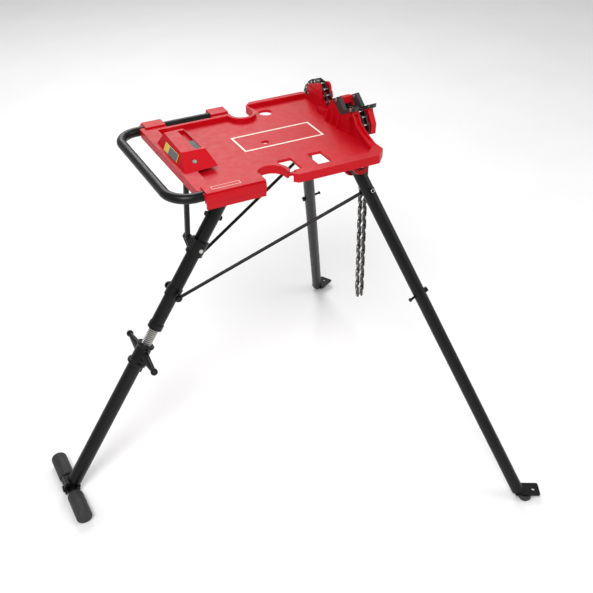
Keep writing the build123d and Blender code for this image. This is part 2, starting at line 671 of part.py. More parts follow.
for side, hand in ((-1, "right"), (1, "left")):
    with BuildPart() as leg_tube:
        with BuildSketch(front_plane(side, tube_start)):
            Circle(front_tube_d / 2)
            Circle(front_bore_r, mode=Mode.SUBTRACT)
        extrude(amount=tube_end - tube_start)
        with BuildSketch(pivot_plane(side, rod_bolt_drop, -30)):
            Circle(rod_bolt_r)
        extrude(amount=60, mode=Mode.SUBTRACT)
        hook_plane = Plane(origin=front_plane(side, hook_drop).origin,
                           x_dir=front_plane(side).z_dir, z_dir=front_plane(side).y_dir)
        with BuildSketch(hook_plane.offset(-30)):
            Circle(3.0)
        extrude(amount=60, mode=Mode.SUBTRACT)
    save(leg_tube, "front_leg_tube_" + hand)

    # knuckle pressed into the top of the tube, turning between the cheeks
    with BuildPart() as knuckle:
        with BuildSketch(pivot_plane(side, 0, -cheek_gap + side_gap)):
            Circle(15)
        extrude(amount=2 * (cheek_gap - side_gap))
        with BuildSketch(front_plane(side, 8)):
            Circle(front_tube_d / 2)
        extrude(amount=tube_start - 8)
        with BuildSketch(front_plane(side, tube_start)):
            Circle(front_bore_r)
        extrude(amount=30)
        with BuildSketch(pivot_plane(side, 0, -40)):
            Circle(pivot_bolt_r + fit_gap)
        extrude(amount=80, mode=Mode.SUBTRACT)
    save(knuckle, "front_leg_knuckle_" + hand)

    with BuildPart() as pivot_bolt:
        half = cheek_gap + cheek_thick
        with BuildSketch(pivot_plane(side, 0, -half - 9)):
            Circle(pivot_bolt_r)
        extrude(amount=2 * half + 9)
        with BuildSketch(pivot_plane(side, 0, half)):
            Circle(11)
        extrude(amount=4)
        with BuildSketch(pivot_plane(side, 0, half + 4)):
            RegularPolygon(9, 6)
        extrude(amount=3)
        with BuildSketch(pivot_plane(side, 0, -half - 8)):
            RegularPolygon(10, 6)
        extrude(amount=8)
    save(pivot_bolt, "front_pivot_bolt_" + hand)

    with BuildPart() as rod_bolt:
        with BuildSketch(pivot_plane(side, rod_bolt_drop, -front_tube_d / 2 - 2.5)):
            Circle(6)
        extrude(amount=5)
        with BuildSketch(pivot_plane(side, rod_bolt_drop, front_tube_d / 2)):
            Rectangle(15, 15)
        extrude(amount=2.5)
        with BuildSketch(pivot_plane(side, rod_bolt_drop, front_tube_d / 2 + 2.5)):
            Circle(6.5)
        extrude(amount=4)
        with BuildSketch(front_plane(side, tube_start)):
            Circle(front_tube_d / 2)
            Circle(front_bore_r, mode=Mode.SUBTRACT)
        extrude(amount=tube_end - tube_start, mode=Mode.SUBTRACT)
        with BuildSketch(pivot_plane(side, rod_bolt_drop, -front_tube_d / 2)):
            Circle(rod_bolt_r)
        extrude(amount=front_tube_d)
    save(rod_bolt, "tie_rod_bolt_" + hand)

    with BuildPart() as hook_pin:
        with BuildSketch(hook_plane.offset(-front_tube_d / 2)):
            Circle(3.0)
        extrude(amount=front_tube_d + 12)
        with BuildSketch(hook_plane.offset(front_tube_d / 2 + 12)):
            Circle(4.5)
        extrude(amount=4)
        with BuildSketch(hook_plane.offset(-front_tube_d / 2 - 7)):
            Circle(6.5)
        extrude(amount=7)
        with BuildSketch(front_plane(side, tube_start)):
            Circle(front_tube_d / 2)
        extrude(amount=tube_end - tube_start, mode=Mode.SUBTRACT)
        with BuildSketch(hook_plane.offset(-front_tube_d / 2)):
            Circle(3.0)
        extrude(amount=front_tube_d)
    save(hook_pin, "strap_hook_pin_" + hand)

    # foot plate welded to the tube, with a drilled hole, over a round rubber pad
    foot_x, foot_y = front_foot[0], side * front_foot[1]
    plate_z = 15.0
    with BuildPart() as foot_plate:
        with BuildSketch(Plane.XY.offset(plate_z)):
            with Locations(Location((foot_x + foot_plate_shift, foot_y - side * 2), side * 28)):
                RectangleRounded(foot_plate_len, 42, 5)
            with Locations((foot_x + 30, foot_y + side * 6)):
                Circle(4.5, mode=Mode.SUBTRACT)
        extrude(amount=4)
        with BuildSketch(front_plane(side, tube_end - 26)):
            Circle(front_bore_r)
        extrude(amount=60)
        with BuildSketch(Plane.XY.offset(plate_z - 60)):
            with Locations((foot_x, foot_y)):
                Rectangle(200, 200)
        extrude(amount=60, mode=Mode.SUBTRACT)
        with BuildSketch(front_plane(side, tube_start)):
            Circle(front_tube_d / 2)
            Circle(front_bore_r, mode=Mode.SUBTRACT)
        extrude(amount=tube_end - tube_start, mode=Mode.SUBTRACT)
    save(foot_plate, "front_foot_plate_" + hand)

    with BuildPart() as foot_pad:
        with BuildSketch():
            with Locations((foot_x + 6, foot_y + side * 6)):
                Circle(15)
        extrude(amount=plate_z)
        fillet(foot_pad.faces().sort_by(Axis.Z)[0].edges(), 5)
    save(foot_pad, "front_foot_pad_" + hand)

    # tie rod from the front leg down to the rear leg
    down, out, pivot = front_axes(side)
    top = pivot + down * rod_bolt_drop + out * -rod_bolt_inset
    low = Vector(*rear_pivot) + rear_down * rear_eye_drop + Vector(0, side * rear_eye_y, 0)
    along = (low - top).normalized()
    rod_len = (low - top).length
    with BuildPart() as tie_rod:
        with BuildSketch(Plane(origin=top + along * (eye_r - 1.5), z_dir=along)):
            Circle(rod_d / 2)
        extrude(amount=rod_len - 2 * eye_r + 3)
        with BuildSketch(pivot_plane(side, rod_bolt_drop, -rod_bolt_inset - eye_thick / 2)):
            Circle(eye_r)
        extrude(amount=eye_thick)
        with BuildSketch(Plane(origin=low - Vector(0, eye_thick / 2, 0), x_dir=(1, 0, 0),
                               z_dir=(0, 1, 0))):
            Circle(eye_r)
        extrude(amount=eye_thick)
        with BuildSketch(pivot_plane(side, rod_bolt_drop, -rod_bolt_inset - 6)):
            Circle(rod_bolt_r)
        extrude(amount=12)
        with BuildSketch(pivot_plane(side, rod_bolt_drop, -rod_bolt_inset - 9)):
            RegularPolygon(6.5, 6)
        extrude(amount=4)
        with BuildSketch(Plane(origin=low - Vector(0, 10, 0), x_dir=(1, 0, 0), z_dir=(0, 1, 0))):
            Circle(rod_bolt_r + 1.2)
        extrude(amount=20, mode=Mode.SUBTRACT)
    save(tie_rod, "tie_rod_" + hand)

# =============================================================================================
# Rear leg
# =============================================================================================
rear_bore_r = rear_upper_d / 2 - 2.5
upper_end = 410.0
screw_major_r = 12.5
nut_top = 458.0
nut_len = 58.0
lower_end = rear_len - 21.0
screw_end = 681.0
collar_from, collar_to = 165.0, 203.0
lug_drop = 168.95
lug_out = 35.0

with BuildPart() as upper_tube:
    with BuildSketch(rear_plane(6)):
        Circle(rear_upper_d / 2)
        Circle(rear_bore_r, mode=Mode.SUBTRACT)
    extrude(amount=upper_end - 6)
    with BuildSketch(rear_cross(rear_eye_drop, -30)):
        Circle(rod_bolt_r)
    extrude(amount=60, mode=Mode.SUBTRACT)
save(upper_tube, "rear_leg_upper_tube")

with BuildPart() as rear_knuckle:
    with BuildSketch(rear_cross(0, -rear_upper_d / 2 - 1.5)):
        Circle(16)
    extrude(amount=rear_upper_d + 3)
    with BuildSketch(rear_plane(2)):
        Circle(rear_bore_r)
    extrude(amount=34)
    with BuildSketch(rear_plane(6)):
        Circle(rear_upper_d / 2 + 3)
        Circle(rear_bore_r, mode=Mode.SUBTRACT)
    extrude(amount=30, mode=Mode.SUBTRACT)
    with BuildSketch(rear_cross(0, -30)):
        Circle(pivot_bolt_r + fit_gap)
    extrude(amount=60, mode=Mode.SUBTRACT)
save(rear_knuckle, "rear_leg_knuckle")

with BuildPart() as rear_bolt:
    with BuildSketch(rear_cross(0, -36)):
        Circle(pivot_bolt_r)
    extrude(amount=72)
    for y0 in (-36.0, 28.0):
        with BuildSketch(rear_cross(0, y0)):
            RegularPolygon(10, 6)
        extrude(amount=8)
save(rear_bolt, "rear_pivot_bolt")

with BuildPart() as cross_bolt:
    cross_plane = Plane(origin=Vector(*rear_pivot) + rear_down * 100.0, x_dir=rear_down,
                        z_dir=rear_out)
    with BuildSketch(cross_plane.offset(-rear_upper_d / 2 - 6)):
        Circle(6)
    extrude(amount=rear_upper_d + 12)
    with BuildSketch(rear_plane(80)):
        Circle(rear_upper_d / 2)
    extrude(amount=40, mode=Mode.SUBTRACT)
save(cross_bolt, "rear_tube_rivets")

with BuildPart() as end_ring:
    with BuildSketch(rear_plane(upper_end - 12)):
        Circle(rear_upper_d / 2 + 2)
        Circle(rear_upper_d / 2, mode=Mode.SUBTRACT)
    extrude(amount=12)
    with BuildSketch(rear_plane(upper_end)):
        Circle(rear_upper_d / 2 + 2)
        Circle(screw_major_r + 0.0, mode=Mode.SUBTRACT)
    extrude(amount=3)
save(end_ring, "rear_tube_end_ring")

with BuildPart() as lead_screw:
    with BuildSketch(rear_plane(upper_end - 20)):
        Circle(rear_bore_r)
    extrude(amount=20)
    with BuildSketch(rear_plane(upper_end)):
        Circle(screw_major_r)
    extrude(amount=screw_end - upper_end)
save(lead_screw, "leveling_screw")

with BuildPart() as wing_nut:
    with BuildSketch(rear_plane(nut_top)):
        Circle(19)
    extrude(amount=nut_len)
    for drop, r, h in ((nut_top, 22.0, 7.0), (nut_top + nut_len - 9, 24.0, 9.0)):
        with BuildSketch(rear_plane(drop)):
            Circle(r)
        extrude(amount=h)
    for direction in (-1, 1):
        arm = rear_cross(nut_top + 26, 0, 0)
        tip = Plane(origin=arm.origin, x_dir=rear_down, z_dir=(0, direction, 0))
        with BuildSketch(tip.offset(10)):
            Ellipse(15, 9)
        with BuildSketch(tip.offset(82)):
            Circle(6)
        loft()
        with Locations(Location(tip.offset(87).origin)):
            Sphere(9)
    with BuildSketch(rear_plane(nut_top - 1)):
        Circle(screw_major_r + fit_gap)
    extrude(amount=nut_len + 2, mode=Mode.SUBTRACT)
save(wing_nut, "wing_nut")

with BuildPart() as lower_tube:
    with BuildSketch(rear_plane(nut_top + nut_len + 0.4)):
        Circle(rear_lower_d / 2)
        Circle(rear_lower_d / 2 - 3, mode=Mode.SUBTRACT)
    extrude(amount=lower_end - nut_top - nut_len - 0.4)
save(lower_tube, "rear_leg_lower_tube")

with BuildPart() as guide_bush:
    with BuildSketch(rear_plane(nut_top + nut_len + 0.4)):
        Circle(rear_lower_d / 2 - 3)
        Circle(screw_major_r + 0.1, mode=Mode.SUBTRACT)
    extrude(amount=24)
save(guide_bush, "lower_tube_bush")

with BuildPart() as key_tab:
    with BuildSketch(rear_plane(nut_top + nut_len + 10)):
        with Locations((0, rear_lower_d / 2 + 2)):
            Rectangle(5, 8)
    extrude(amount=11)
    with BuildSketch(rear_plane(nut_top + nut_len)):
        Circle(rear_lower_d / 2)
    extrude(amount=60, mode=Mode.SUBTRACT)
save(key_tab, "lock_key_tab")

# ---- rear foot: a rocking crossbar with two rubber grips
yoke_bolt_drop = rear_len - 6.0
bar_half = 118.0
grip_len = 84.0
grip_r = 20.0
yoke_gap = 14.0
yoke_t = 5.0
with BuildPart() as foot_yoke:
    with BuildSketch(rear_plane(lower_end - 30)):
        Circle(rear_lower_d / 2 - 3)
    extrude(amount=31)
    with BuildSketch(Plane.XZ.offset(-15)):
        with BuildLine():
            Polyline((rear_foot_x - yoke_gap - yoke_t, 36), (rear_foot_x - yoke_gap, 48),
                     (rear_foot_x + 26, 52), (rear_foot_x + yoke_gap + yoke_t, 36), close=True)
        make_face()
    extrude(amount=30)
    for x0 in (rear_foot_x - yoke_gap - yoke_t, rear_foot_x + yoke_gap):
        with BuildSketch(Plane.YZ.offset(x0)):
            with Locations((0, crossbar_z)):
                Circle(15)
            with Locations((0, crossbar_z + 10)):
                Rectangle(30, 20)
        extrude(amount=yoke_t)
    with BuildSketch(Plane.XZ.offset(-20)):
        with Locations((rear_foot_x, crossbar_z)):
            Circle(14.0)
        with Locations((rear_foot_x, crossbar_z + 8)):
            Rectangle(27.6, 16)
    extrude(amount=40, mode=Mode.SUBTRACT)
    with BuildSketch(Plane.YZ.offset(rear_foot_x - 30)):
        with Locations((0, crossbar_z)):
            Circle(4.5)
    extrude(amount=60, mode=Mode.SUBTRACT)
    with BuildSketch(rear_plane(lower_end - 40)):
        Circle(rear_lower_d / 2 + 6)
        Circle(rear_lower_d / 2 - 3, mode=Mode.SUBTRACT)
    extrude(amount=40, mode=Mode.SUBTRACT)
save(foot_yoke, "rear_foot_yoke")

with BuildPart() as rock_bolt:
    half = yoke_gap + yoke_t
    with BuildSketch(Plane.YZ.offset(rear_foot_x - half)):
        with Locations((0, crossbar_z)):
            Circle(4.5)
    extrude(amount=2 * half)
    for x0 in (rear_foot_x - half - 3.5, rear_foot_x + half):
        with BuildSketch(Plane.YZ.offset(x0)):
            with Locations((0, crossbar_z)):
                Circle(8)
        extrude(amount=3.5)
save(rock_bolt, "rear_foot_bolt")

with BuildPart() as crossbar:
    with BuildSketch(Plane.XZ.offset(-bar_half + 4)):
        with Locations((rear_foot_x, crossbar_z)):
            Circle(13)
            Circle(10.5, mode=Mode.SUBTRACT)
    extrude(amount=2 * bar_half - 8)
    with BuildSketch(Plane.YZ.offset(rear_foot_x - 20)):
        with Locations((0, crossbar_z)):
            Circle(4.5 + fit_gap)
    extrude(amount=40, mode=Mode.SUBTRACT)
save(crossbar, "rear_foot_crossbar")

with BuildPart() as grips:
    for y0, y1 in ((-bar_half, -bar_half + grip_len), (bar_half - grip_len, bar_half)):
        with BuildSketch(Plane.XZ.offset(-y1)):
            with Locations((rear_foot_x, crossbar_z)):
                Circle(grip_r)
        extrude(amount=grip_len)
    fillet(grips.edges().filter_by(GeomType.CIRCLE), 4)
    with BuildSketch(Plane.XZ.offset(-bar_half + 4)):
        with Locations((rear_foot_x, crossbar_z)):
            Circle(13)
    extrude(amount=2 * bar_half - 8, mode=Mode.SUBTRACT)
save(grips, "rear_foot_grips")

# ---- strap and bolt that carry the lower ends of the tie rods
with BuildPart() as ear_band:
    with BuildSketch(rear_plane(rear_eye_drop - 12)):
        Circle(rear_upper_d / 2 + 2.5)
        Circle(rear_upper_d / 2, mode=Mode.SUBTRACT)
    extrude(amount=24)
    boss_end = rear_eye_y - eye_thick / 2 - eye_gap
    for y0 in (rear_upper_d / 2 + 1.5, -boss_end):
        with BuildSketch(rear_cross(rear_eye_drop, y0)):
            Circle(6.5)
        extrude(amount=boss_end - rear_upper_d / 2 - 1.5)
    with BuildSketch(rear_cross(rear_eye_drop, -40)):
        Circle(rod_bolt_r)
    extrude(amount=80, mode=Mode.SUBTRACT)
save(ear_band, "tie_rod_ear_band")

with BuildPart() as ear_bolt:
    reach = rear_eye_y + eye_thick / 2 + eye_gap
    with BuildSketch(rear_cross(rear_eye_drop, -reach)):
        Circle(rod_bolt_r)
    extrude(amount=2 * reach)
    for y0 in (-reach - 4, reach):
        with BuildSketch(rear_cross(rear_eye_drop, y0)):
            Circle(6.5)
        extrude(amount=4)
save(ear_bolt, "tie_rod_ear_bolt")

# ---- brace that props the rear leg: hung from the tray, carried by a collar that slides on the leg
brace_pin_r = 4.0
brace_half = 7.5
cheek_y = brace_half + side_gap
collar_gap = 0.3
collar_travel = 92.0
brace_top_z = 800.0

lug = Vector(*rear_pivot) + rear_down * lug_drop + rear_out * lug_out
folded_x = rear_pivot[0] - lug_drop - collar_travel
folded_z = rear_pivot[2] + lug_out
# the brace is as long when the stand is open as when it is folded
brace_top_x = (
    folded_x ** 2 - lug.X ** 2 + (brace_top_z - folded_z) ** 2 - (brace_top_z - lug.Z) ** 2
) / (2 * (folded_x - lug.X))
brace_top = Vector(brace_top_x, 0, brace_top_z)

with BuildPart() as collar:
    with BuildSketch(rear_plane(collar_from)):
        Circle(rear_upper_d / 2 + 5)
    extrude(amount=collar_to - collar_from)
    for y0 in (cheek_y, -cheek_y - 4):
        with BuildSketch(rear_cross(0, y0)):
            with BuildLine():
                Polyline((lug_drop - 4, lug_out + 7), (lug_drop + 5, lug_out + 7),
                         (collar_to - 4, 14), (collar_from + 2, 14), (lug_drop - 8, lug_out - 6),
                         (lug_drop - 8, lug_out + 2), close=True)
            make_face()
        extrude(amount=4)
    with BuildSketch(rear_plane(collar_from - 30)):
        Circle(rear_upper_d / 2 + collar_gap)
    extrude(amount=100, mode=Mode.SUBTRACT)
    # short studs for the brace, one in each cheek
    for y0 in (cheek_y, -cheek_y - 6.5):
        with BuildSketch(rear_cross(lug_drop, y0, lug_out)):
            Circle(brace_pin_r)
        extrude(amount=6.5)
save(collar, "brace_collar")

with BuildPart() as collar_bolt:
    with BuildSketch(rear_cross((collar_from + collar_to) / 2, -rear_upper_d / 2 - 9)):
        Circle(5)
    extrude(amount=6)
    add(collar.part, mode=Mode.SUBTRACT)
save(collar_bolt, "brace_collar_bolt")

brace_dir = (brace_top - lug).normalized()
brace_len = (brace_top - lug).length
with BuildPart() as brace:
    with BuildSketch(Plane(origin=lug + brace_dir * 4.6, x_dir=(0, 1, 0), z_dir=brace_dir)):
        RectangleRounded(2 * brace_half - 1, 11, 4)
    extrude(amount=brace_len - 9.2)
    for centre, r in ((lug, 7.5), (brace_top, 6.8)):
        with BuildSketch(Plane(origin=centre - Vector(0, brace_half, 0), x_dir=(1, 0, 0),
                               z_dir=(0, 1, 0))):
            Circle(r)
        extrude(amount=2 * brace_half)
    with BuildSketch(Plane(origin=brace_top - Vector(0, 20, 0), x_dir=(1, 0, 0), z_dir=(0, 1, 0))):
        Circle(brace_pin_r + fit_gap)
    extrude(amount=40, mode=Mode.SUBTRACT)
save(brace, "lock_brace")

with BuildPart() as bracket:
    for y0 in (cheek_y, -cheek_y - 4):
        with BuildSketch(Plane.XZ.offset(-y0 - 4)):
            with BuildLine():
                Polyline((brace_top_x - 7, brace_top_z - 6.5), (brace_top_x + 7, brace_top_z - 6.5),
                         (brace_top_x + 18, tray_floor_z - floor_thick),
                         (brace_top_x - 26, tray_floor_z - floor_thick), close=True)
            make_face()
        extrude(amount=4)
    with BuildSketch(Plane.XY.offset(tray_floor_z - floor_thick - 3)):
        with Locations((brace_top_x - 4, 0)):
            Rectangle(44, 2 * cheek_y + 8)
    extrude(amount=3)
    with BuildSketch(Plane.XZ.offset(-30)):
        with Locations((brace_top_x, brace_top_z)):
            Circle(brace_pin_r)
    extrude(amount=60, mode=Mode.SUBTRACT)
    add(tray.part, mode=Mode.SUBTRACT)
    add(ears.part, mode=Mode.SUBTRACT)
save(bracket, "brace_bracket")

with BuildPart() as brace_pin:
    with BuildSketch(Plane.XZ.offset(-cheek_y - 4)):
        with Locations((brace_top_x, brace_top_z)):
            Circle(brace_pin_r)
    extrude(amount=2 * cheek_y + 8)
    for y0 in (cheek_y + 4, -cheek_y - 6):
        with BuildSketch(Plane.XZ.offset(-y0 - 2)):
            with Locations((brace_top_x, brace_top_z)):
                Circle(6)
        extrude(amount=2)
save(brace_pin, "brace_pin")
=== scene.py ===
"""Looks for the folding chain vise stand: finishes, lights, camera and the detailed pieces on the CAD frame."""
import json
import math

import bpy
from mathutils import Matrix, Vector


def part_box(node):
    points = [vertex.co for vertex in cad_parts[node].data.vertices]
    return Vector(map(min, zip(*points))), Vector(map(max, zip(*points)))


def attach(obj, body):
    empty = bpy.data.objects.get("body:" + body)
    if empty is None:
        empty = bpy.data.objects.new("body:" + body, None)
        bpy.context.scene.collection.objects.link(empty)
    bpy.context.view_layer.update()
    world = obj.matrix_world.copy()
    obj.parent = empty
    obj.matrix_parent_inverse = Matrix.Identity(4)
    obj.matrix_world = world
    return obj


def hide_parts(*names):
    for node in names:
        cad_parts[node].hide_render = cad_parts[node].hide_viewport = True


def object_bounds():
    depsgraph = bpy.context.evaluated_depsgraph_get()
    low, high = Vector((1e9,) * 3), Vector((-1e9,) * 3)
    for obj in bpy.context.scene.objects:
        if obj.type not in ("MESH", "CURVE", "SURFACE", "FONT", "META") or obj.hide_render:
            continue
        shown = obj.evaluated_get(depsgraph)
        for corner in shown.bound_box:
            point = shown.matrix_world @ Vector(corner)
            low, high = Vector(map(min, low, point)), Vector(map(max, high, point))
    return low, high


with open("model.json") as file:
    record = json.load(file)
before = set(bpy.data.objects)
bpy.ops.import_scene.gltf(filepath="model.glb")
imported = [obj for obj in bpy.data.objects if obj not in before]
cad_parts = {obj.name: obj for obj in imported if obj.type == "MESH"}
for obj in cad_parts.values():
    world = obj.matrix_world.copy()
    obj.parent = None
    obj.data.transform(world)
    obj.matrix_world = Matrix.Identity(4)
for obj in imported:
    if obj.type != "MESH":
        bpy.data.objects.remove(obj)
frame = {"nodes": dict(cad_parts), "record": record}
cad_low, cad_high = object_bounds()
record = frame["record"]
body_of = {node: body for body, nodes in record["behaviour"]["bodies"].items() for node in nodes}
slot_of = {entry["node"]: entry["material_slot"] for entry in record["subparts"]}


# ---------------------------------------------------------------- camera
VIEW_TARGET = Vector((0.02939, -0.200, 0.550))
VIEW_AZIMUTH = math.radians(-26.974)
VIEW_ELEVATION = math.radians(33.927)
VIEW_ROLL = math.radians(-0.496)
VIEW_DISTANCE = 2.138
LENS = 56.73


def place_camera():
    back = Vector((
        math.sin(VIEW_AZIMUTH) * math.cos(VIEW_ELEVATION),
        -math.cos(VIEW_AZIMUTH) * math.cos(VIEW_ELEVATION),
        math.sin(VIEW_ELEVATION),
    ))
    right = Vector((math.cos(VIEW_AZIMUTH), math.sin(VIEW_AZIMUTH), 0))
    up = back.cross(right)
    rolled_right = right * math.cos(VIEW_ROLL) + up * math.sin(VIEW_ROLL)
    rolled_up = up * math.cos(VIEW_ROLL) - right * math.sin(VIEW_ROLL)
    bpy.ops.object.camera_add(location=VIEW_TARGET + back * VIEW_DISTANCE)
    camera = bpy.context.object
    camera.name = "view_camera"
    turn = Matrix((rolled_right, rolled_up, back)).transposed()
    camera.rotation_euler = turn.to_euler()
    camera.data.lens = LENS
    camera.data.sensor_width = 36.0
    camera.data.clip_end = 60.0
    bpy.context.scene.camera = camera


place_camera()


# ---------------------------------------------------------------- finishes
def node_chain(name):
    """A new material with its shader, its links and a scaled object-space source."""
    material = bpy.data.materials.new(name)
    material.use_nodes = True
    nodes = material.node_tree.nodes
    links = material.node_tree.links
    shader = nodes["Principled BSDF"]
    source = nodes.new("ShaderNodeTexCoord")
    return material, nodes, links, shader, source


def noise(nodes, links, source, scale, detail=3.0, stretch=(1.0, 1.0, 1.0)):
    mapping = nodes.new("ShaderNodeMapping")
    mapping.inputs["Scale"].default_value = stretch
    links.new(source.outputs["Object"], mapping.inputs["Vector"])
    texture = nodes.new("ShaderNodeTexNoise")
    texture.inputs["Scale"].default_value = scale
    texture.inputs["Detail"].default_value = detail
    links.new(mapping.outputs["Vector"], texture.inputs["Vector"])
    return texture.outputs["Fac"]


def ramp(nodes, links, factor, low, high, start=0.35, end=0.65):
    blend = nodes.new("ShaderNodeValToRGB")
    blend.color_ramp.elements[0].position = start
    blend.color_ramp.elements[1].position = end
    blend.color_ramp.elements[0].color = (*low, 1.0)
    blend.color_ramp.elements[1].color = (*high, 1.0)
    links.new(factor, blend.inputs["Fac"])
    return blend.outputs["Color"]


def level(nodes, links, factor, low, high):
    span = nodes.new("ShaderNodeMapRange")
    span.inputs["From Min"].default_value = 0.3
    span.inputs["From Max"].default_value = 0.7
    span.inputs["To Min"].default_value = low
    span.inputs["To Max"].default_value = high
    links.new(factor, span.inputs["Value"])
    return span.outputs["Result"]


def grain_bump(nodes, links, shader, factor, strength, depth):
    bump = nodes.new("ShaderNodeBump")
    bump.inputs["Strength"].default_value = strength
    bump.inputs["Distance"].default_value = depth
    links.new(factor, bump.inputs["Height"])
    links.new(bump.outputs["Normal"], shader.inputs["Normal"])


def coat_finish(name, low, high, rough, grain_scale, strength, depth, gloss=0.0, metal=0.0, shine=0.5):
    """A coated, moulded or bare surface: patchy colour, uneven gloss and a fine grain."""
    material, nodes, links, shader, source = node_chain(name)
    patches = noise(nodes, links, source, 9.0, 4.0)
    links.new(ramp(nodes, links, patches, low, high), shader.inputs["Base Color"])
    uneven = noise(nodes, links, source, 60.0, 5.0)
    links.new(level(nodes, links, uneven, rough[0], rough[1]), shader.inputs["Roughness"])
    fine = noise(nodes, links, source, grain_scale, 2.0)
    grain_bump(nodes, links, shader, fine, strength, depth)
    shader.inputs["Metallic"].default_value = metal
    shader.inputs["Specular IOR Level"].default_value = shine
    shader.inputs["Coat Weight"].default_value = gloss
    shader.inputs["Coat Roughness"].default_value = 0.12
    material.diffuse_color = (*high, 1.0)
    return material


finishes = {
    "red_powder_coat": coat_finish(
        "red_powder_coat", (0.440, 0.0008, 0.0060), (0.485, 0.0013, 0.0078),
        (0.36, 0.48), 900.0, 0.10, 0.0003, gloss=0.0, shine=0.18),
    "black_powder_coat": coat_finish(
        "black_powder_coat", (0.0022, 0.0023, 0.0026), (0.0042, 0.0043, 0.0047),
        (0.30, 0.42), 1100.0, 0.12, 0.0003, shine=0.24),
    "zinc_steel": coat_finish(
        "zinc_steel", (0.50, 0.49, 0.46), (0.62, 0.61, 0.58),
        (0.24, 0.40), 500.0, 0.12, 0.0003, metal=1.0),
    "jaw_steel": coat_finish(
        "jaw_steel", (0.034, 0.036, 0.038), (0.052, 0.054, 0.057),
        (0.42, 0.58), 420.0, 0.30, 0.0005, metal=0.35),
    "chain_steel": coat_finish(
        "chain_steel", (0.028, 0.027, 0.026), (0.070, 0.066, 0.062),
        (0.26, 0.46), 260.0, 0.18, 0.0004, metal=0.8),
    "pin_steel": coat_finish(
        "pin_steel", (0.42, 0.41, 0.40), (0.62, 0.61, 0.60),
        (0.18, 0.34), 300.0, 0.12, 0.0003, metal=1.0),
    "rest_rubber": coat_finish(
        "rest_rubber", (0.075, 0.082, 0.088), (0.100, 0.108, 0.115),
        (0.62, 0.78), 300.0, 0.30, 0.0005),
    "black_rubber": coat_finish(
        "black_rubber", (0.0125, 0.0125, 0.0135), (0.0190, 0.0190, 0.0200),
        (0.58, 0.74), 260.0, 0.40, 0.0006),
    "moulded_plastic": coat_finish(
        "moulded_plastic", (0.020, 0.020, 0.022), (0.032, 0.032, 0.035),
        (0.50, 0.64), 340.0, 0.28, 0.0005),
    "label_plate": coat_finish(
        "label_plate", (0.62, 0.43, 0.07), (0.70, 0.50, 0.09),
        (0.34, 0.44), 400.0, 0.05, 0.0002),
    "grey_ink": coat_finish(
        "grey_ink", (0.105, 0.110, 0.112), (0.130, 0.135, 0.138),
        (0.40, 0.52), 700.0, 0.08, 0.0002),
    "cream_ink": coat_finish(
        "cream_ink", (0.74, 0.68, 0.56), (0.80, 0.74, 0.62),
        (0.38, 0.50), 700.0, 0.08, 0.0002),
}


# ---------------------------------------------------------------- modelling helpers
def only(piece):
    bpy.ops.object.select_all(action="DESELECT")
    piece.select_set(True)
    bpy.context.view_layer.objects.active = piece


def settle(piece):
    """Puts the piece's place, turn and size into its mesh."""
    only(piece)
    bpy.ops.object.transform_apply(location=True, rotation=True, scale=True)


def bevel_edges(piece, width, segments=2, angle=30.0):
    only(piece)
    bevel = piece.modifiers.new("edge", "BEVEL")
    bevel.width = width
    bevel.segments = segments
    bevel.limit_method = "ANGLE"
    bevel.angle_limit = math.radians(angle)
    bevel.use_clamp_overlap = True
    bevel.miter_outer = "MITER_ARC"
    bpy.ops.object.modifier_apply(modifier=bevel.name)


def smooth(piece, angle=35.0):
    """Soft shading that still keeps the large flat faces flat."""
    only(piece)
    bpy.ops.object.shade_smooth_by_angle(angle=math.radians(angle))
    facing = piece.modifiers.new("facing", "WEIGHTED_NORMAL")
    facing.keep_sharp = True
    bpy.ops.object.modifier_apply(modifier=facing.name)


def mend_normals(piece):
    only(piece)
    bpy.ops.object.mode_set(mode="EDIT")
    bpy.ops.mesh.select_all(action="SELECT")
    bpy.ops.mesh.remove_doubles(threshold=0.00001)
    bpy.ops.mesh.normals_make_consistent(inside=False)
    bpy.ops.object.mode_set(mode="OBJECT")


def dress(piece, finish):
    piece.data.materials.clear()
    piece.data.materials.append(finishes[finish])


def hand_over(piece, body, finish, *nodes, slot=None):
    """Gives a finished piece its material and its body, and hides the nodes it stands for."""
    piece.data.name = piece.name
    dress(piece, finish)
    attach(piece, body)
    if nodes:
        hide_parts(*nodes)
    return piece


def rounded_copy(node, width, segments=2, flat=2.0, angle=30.0, suffix="_rounded"):
    """A merged copy of a node with its edges rounded, as the casting or the bent steel has them."""
    source = frame["nodes"][node]
    piece = bpy.data.objects.new(node + suffix, source.data.copy())
    bpy.context.scene.collection.objects.link(piece)
    only(piece)
    bpy.ops.object.mode_set(mode="EDIT")
    bpy.ops.mesh.select_all(action="SELECT")
    bpy.ops.mesh.remove_doubles(threshold=0.00001)
    bpy.ops.mesh.dissolve_limited(angle_limit=math.radians(flat))
    bpy.ops.object.mode_set(mode="OBJECT")
    if width > 0:
        bevel_edges(piece, width, segments, angle)
    smooth(piece)
    return hand_over(piece, body_of[node], slot_of[node], node)


# ---------------------------------------------------------------- the frame, with its edges rounded
EDGE = {
    "tray_casting": 0.0012, "vise_base": 0.0014, "pipe_rest_block": 0.0016,
    "v_jaw_inner": 0.0010, "v_jaw_outer": 0.0010, "rear_foot_yoke": 0.0010,
    "front_leg_knuckle_right": 0.0012, "front_leg_knuckle_left": 0.0012,
    "rear_leg_knuckle": 0.0012, "brace_collar": 0.0008, "brace_bracket": 0.0008,
    "lock_brace": 0.0006, "wing_nut": 0.0012, "tension_knob": 0.0008,
}
made = {}
for node in sorted(frame["nodes"]):
    if node != "wing_nut":
        made[node] = rounded_copy(node, EDGE.get(node, 0.0004))


